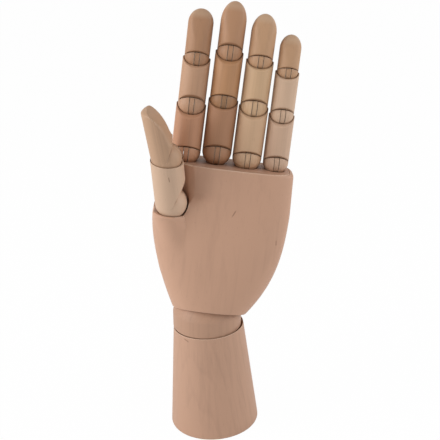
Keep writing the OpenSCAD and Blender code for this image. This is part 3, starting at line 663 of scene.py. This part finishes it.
            # Painted shade on the ball's palm side: under the bevel, over the next cup's rim and beside the slot,
            # joined by the ball's dark grain stripes
            tilt = math.radians(bevel)
            below = measure("DOT_PRODUCT", local, (0.0, math.sin(tilt), math.cos(tilt)))
            over = measure("DOT_PRODUCT", local, (0.0, -math.sin(tilt), math.cos(tilt)))
            apart = add(tree, "SeparateXYZ", {0: local})
            ahead = fading(apart.outputs["Y"], -1.5, -0.5)
            under = maths("SUBTRACT", 1.0, fading(below, -1.5, 0.0))
            at_bevel = maths("MULTIPLY", under, fading(below, 0.05, 0.3))
            at_rim = maths("MULTIPLY", fading(over, 0.1, 1.2), on_ball)
            off_slot = maths("ABSOLUTE", maths("SUBTRACT", maths("ABSOLUTE", apart.outputs["X"]),
                                               TONGUE_T / 2 + SLOT_GAP / 2))
            at_slot = maths("MULTIPLY", fading(off_slot, 0.15, 0.6), on_ball)
            stripes = ramp(tree, noise(STRIPE_WAVES, 3.0, 0.6), [(0.5, 0.0), (0.68, 1.0)])
            stripes = maths("MULTIPLY", stripes, on_ball)
            shade_and_stripes = None
            for mask, share in ((at_bevel, 0.55), (at_rim, 0.4), (at_slot, 0.5), (stripes, 0.22)):
                shade_and_stripes = strongest(shade_and_stripes, maths("MULTIPLY", mask, share))
            shade = strongest(shade, maths("MULTIPLY", shade_and_stripes, ahead))
    if shade is not None:
        colour = over_with(shade, colour, SHADE_AND_STRIPE_COLOUR)

    rough = maths("MULTIPLY_ADD", fibre, 0.12, 0.52)
    bump = add(tree, "Bump", {"Height": fibre, "Strength": 0.12, "Distance": 0.1 * MM}).outputs[0]
    shader = add(tree, "BsdfPrincipled", {
        "Base Color": colour, "Roughness": rough, "Normal": bump, "IOR": 1.5})
    add(tree, "OutputMaterial", {"Surface": shader.outputs[0]})
    return material


def drawn_steel(name):
    """Bright drawn steel wire and pins: grey metal, its tone and roughness lightly mottled by fine noise."""
    material = bpy.data.materials.new(name)
    material.use_nodes = True
    tree = material.node_tree
    tree.nodes.clear()
    where = add(tree, "TexCoord").outputs["Object"]
    spread = add(tree, "VectorMath", {0: where, 1: (900, 900, 900)}, operation="MULTIPLY").outputs[0]
    marks = add(tree, "TexNoise", {"Vector": spread, "Scale": 1.0, "Detail": 2.0}).outputs[0]
    rough = add(tree, "Math", {0: marks, 1: 0.2, 2: 0.22}, operation="MULTIPLY_ADD").outputs[0]
    tone = ramp(tree, marks, [(0.3, 0.42), (0.7, 0.56)])
    shader = add(tree, "BsdfPrincipled", {"Base Color": tone, "Metallic": 1.0, "Roughness": rough})
    add(tree, "OutputMaterial", {"Surface": shader.outputs[0]})
    return material


def dress(piece, material):
    """Gives a piece one material."""
    piece.data.materials.clear()
    piece.data.materials.append(material)


def stand_for(piece, node, body, material):
    """Shows the piece for a node of the frame, on its body and from its material slot."""
    finished(piece)
    dress(piece, material)
    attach(piece, body)
    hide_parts(node)


# Tones of the pieces
TONES = {
    "index_proximal": "#bb8969", "index_middle": "#bb9274", "index_tip": "#aa7f5f",
    "middle_proximal": "#a77a5b", "middle_middle": "#b68760", "middle_tip": "#b18564",
    "ring_proximal": "#caa685", "ring_middle": "#caa783", "ring_tip": "#be9572",
    "little_proximal": "#caa88e", "little_middle": "#cdad92", "little_tip": "#bb9371",
    "thumb_lower": "#caaa90", "thumb_tip": "#b89477",
    "palm": "#c59b81", "wrist_barrel": "#b68f76", "forearm_stand": "#bf977e",
}
CORE_TONE, DARK_TONGUE_TONE = "#bc946f", "#96704f"
TONGUE_PITH, PLUG_PITH, PITH_AWAY = (30.0, 12.0), (25.0, 10.0), 70.0
# Knots and nicks: place and direction in the piece's own frame, half length and half width in millimetres
PALM_MARKS = (((7.3, -19.7, 85.9), (0.42, 0.0, 0.91), 3.0, 0.55),
              ((38.4, -16.4, 67.5), (-0.15, 0.0, 0.99), 2.2, 0.5))
THUMB_MARKS = (((-10.6, -0.9, 22.8), (0.0, 0.1, 1.0), 2.2, 0.45),)
STAND_MARKS = (((-15.8, -19.7, 74.5), (0.72, -0.6, -0.35), 2.6, 0.6),)


def cup_at(length, d):
    """Centre and radius of the cup at the upper end of a piece, in the piece's own frame."""
    return (0.0, 0.0, length), d / 2 + CUP_GAP


def build_hand():
    """Every wooden piece of the hand, with its own board's grain."""
    palm_cups = [((FINGER_X[i], 0.0, KNUCKLE_Z[i]), PIECE_D[0][i] / 2 + CUP_GAP) for i in range(4)]
    palm_cups += [(THUMB_AT, THUMB_D / 2 + CUP_GAP), ((0.0, 0.0, 0.0), BARREL_DOME_R + CUP_FIT)]
    pieces = [
        ("forearm_stand", "forearm", make_stand(), np.eye(4),
         {"cups": [((0.0, 0.0, BARREL_PIVOT_Z), STAND_CUP_R)], "edge_r": 1.0, "marks": STAND_MARKS}),
        ("wrist_barrel", "wrist", make_barrel(), ON_BARREL, {}),
        ("palm", "palm", make_palm(), ON_HAND, {
            "cups": palm_cups, "edge_r": 1.0, "rings": 0.03, "streak": 0.06, "broad": 0.18, "marks": PALM_MARKS}),
        ("thumb_lower", "thumb_lower", jointed_piece(
            "thumb_lower_turned", ON_THUMB, THUMB_D, THUMB_L, THUMB_BEVEL, THUMB_TIP_D, 0.0,
            THUMB_CUP_DROP, THUMB_CUP_FALL, THUMB_GROOVE), ON_THUMB,
         {"cups": [cup_at(THUMB_L, THUMB_TIP_D)], "own_r": THUMB_D / 2, "marks": THUMB_MARKS}),
        ("thumb_tip", "thumb_tip", tip_piece(
            "thumb_tip_turned", ON_THUMB_TIP, THUMB_TIP_D, THUMB_TIP_L, THUMB_TIP_BEVEL, THUMB_DOME_H,
            THUMB_PAD_Z, THUMB_PAD_CURVE_R, THUMB_PAD_IN, soft=7.0, groove=THUMB_GROOVE), ON_THUMB_TIP,
         {"own_r": THUMB_TIP_D / 2, "end": 0.0}),
    ]
    for i, finger in enumerate(FINGERS):
        for level, part in ((0, "proximal"), (1, "middle")):
            node = f"{finger}_{part}"
            place = on_finger(i, level)
            d, length, bevel = PIECE_D[level][i], PIECE_L[level][i], BEVEL[level][i]
            made = jointed_piece(node + "_turned", place, d, length, bevel,
                                 PIECE_D[level + 1][i], BEVEL[level + 1][i])
            pieces.append((node, node, made, place, {
                "cups": [cup_at(length, PIECE_D[level + 1][i])], "own_r": d / 2, "bevel": bevel,
                "ball_level": 0.75 if node == "middle_middle" else 1.0, "streak": 0.12, "broad": 0.34}))
        place = on_finger(i, 2)
        made = tip_piece(f"{finger}_tip_turned", place, PIECE_D[2][i], PIECE_L[2][i], BEVEL[2][i], TIP_DOME_H[i],
                         PAD_Z[i], PAD_CURVE_R[i])
        pieces.append((f"{finger}_tip", f"{finger}_tip", made, place, {
            "own_r": PIECE_D[2][i] / 2, "bevel": BEVEL[2][i], "end": 0.1, "streak": 0.12, "broad": 0.34,
            "pale_from": PIECE_L[2][i] - 6.0}))
    rng = np.random.default_rng(12)
    for k, (node, body, piece, place, marks) in enumerate(pieces):
        angle = rng.uniform(0.25, 0.75) * math.pi
        pith = (PITH_AWAY * math.cos(angle), PITH_AWAY * math.sin(angle))
        wood = sanded_beech("beech_" + node, TONES[node], place, pith, k + 1, **marks)
        stand_for(piece, node, body, wood)


def dress_frame():
    """Finishes for the frame's own pieces that stay: tongues, plug, pins and springs."""
    steel = drawn_steel("drawn_steel_wire")
    plug = sanded_beech("beech_foot_plug", CORE_TONE, np.eye(4), PLUG_PITH, 31)
    dress(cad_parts["foot_plug"], plug)
    for node in ("wrist_tension_spring", "spring_anchor_pin", "palm_screw_eye"):
        dress(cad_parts[node], steel)
    for i, finger in enumerate(FINGERS):
        for level, (joint, part) in enumerate((("knuckle", "proximal"), ("middle", "middle"), ("tip", "tip"))):
            tone = DARK_TONGUE_TONE if (finger, joint) == ("middle", "middle") else TONES[f"{finger}_{part}"]
            wood = sanded_beech(f"beech_{finger}_{joint}_tongue", tone, on_finger(i, level), TONGUE_PITH,
                                40 + 3 * i + level, own_r=PIECE_D[level][i] / 2, bevel=BEVEL[level][i],
                                inner=False)
            dress(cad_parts[f"{finger}_{joint}_tongue"], wood)
            dress(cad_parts[f"{finger}_{joint}_pin"], steel)
    for joint, part, place, seed in (("base", "lower", ON_THUMB, 60), ("tip", "tip", ON_THUMB_TIP, 61)):
        wood = sanded_beech(f"beech_thumb_{joint}_tongue", TONES[f"thumb_{part}"], place, TONGUE_PITH, seed)
        dress(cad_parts[f"thumb_{joint}_tongue"], wood)
        dress(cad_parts[f"thumb_{joint}_pin"], steel)


# Studio

def studio():
    """White sweep of floor, even light from all round and a larger soft lamp at the left."""
    bpy.ops.mesh.primitive_plane_add(size=12)
    floor = bpy.context.object
    floor.name = "studio_floor"
    material = bpy.data.materials.new("white_paper_floor")
    material.use_nodes = True
    tree = material.node_tree
    tree.nodes.clear()
    seen = add(tree, "LightPath")
    glow = add(tree, "Math", {0: seen.outputs["Is Camera Ray"], 1: seen.outputs["Is Glossy Ray"]},
               operation="MAXIMUM").outputs[0]
    paper = add(tree, "BsdfDiffuse", {"Color": linear("#f2f2f2")}).outputs[0]
    white = add(tree, "Emission", {"Color": (1, 1, 1, 1), "Strength": glow}).outputs[0]
    half = add(tree, "MixShader", {0: 0.985, 1: paper, 2: white}).outputs[0]
    mix = add(tree, "MixShader", {0: glow, 1: paper, 2: half}).outputs[0]
    add(tree, "OutputMaterial", {"Surface": mix})
    dress(floor, material)

    world = bpy.data.worlds.new("studio_white")
    world.use_nodes = True
    tree = world.node_tree
    tree.nodes.clear()
    seen = add(tree, "LightPath")
    direct = add(tree, "Math", {0: seen.outputs["Is Camera Ray"], 1: seen.outputs["Is Glossy Ray"]},
                 operation="MAXIMUM").outputs[0]
    strength = add(tree, "Mix", {0: direct, 2: 0.33, 3: 1.0}).outputs[0]
    sky = add(tree, "Background", {"Color": (1, 1, 1, 1), "Strength": strength})
    add(tree, "OutputWorld", {"Surface": sky.outputs[0]})
    bpy.context.scene.world = world

    target = Vector((0, 0, 0.15))
    for name, at, size, power in (
            ("left_soft_lamp", (-1.0, -0.35, 0.65), 0.7, 10.2),
            ("right_soft_lamp", (1.0, -0.25, 0.55), 0.7, 5.6)):
        lamp = bpy.data.lights.new(name, "AREA")
        lamp.energy, lamp.size = power, size
        holder = bpy.data.objects.new(name, lamp)
        holder.location = at
        holder.rotation_euler = (target - Vector(at)).to_track_quat("-Z", "Y").to_euler()
        bpy.context.scene.collection.objects.link(holder)


def aim_camera():
    """Camera of the photograph: 0.6 m in front of the hand, a little above it, looking down 20 degrees and
    rolled 3.5 degrees, with a 68 mm lens on a 36 mm frame."""
    pitch, roll = math.radians(19.95), math.radians(-3.5)
    forward = Vector((0, math.cos(pitch), -math.sin(pitch)))
    up = Vector((0, math.sin(pitch), math.cos(pitch)))
    side = Vector((1, 0, 0))
    right = side * math.cos(roll) + up * math.sin(roll)
    top = up * math.cos(roll) - side * math.sin(roll)
    camera = bpy.data.cameras.new("photo_camera")
    camera.lens, camera.sensor_width, camera.clip_start = 68.0, 36.0, 0.01
    holder = bpy.data.objects.new("photo_camera", camera)
    matrix = Matrix((right, top, -forward)).transposed().to_4x4()
    matrix.translation = Vector((12.77, -535.7, 349.3)) * MM
    holder.matrix_world = matrix
    bpy.context.scene.collection.objects.link(holder)
    bpy.context.scene.camera = holder


bpy.context.scene.view_settings.view_transform = "Standard"
studio()
aim_camera()
build_hand()
dress_frame()
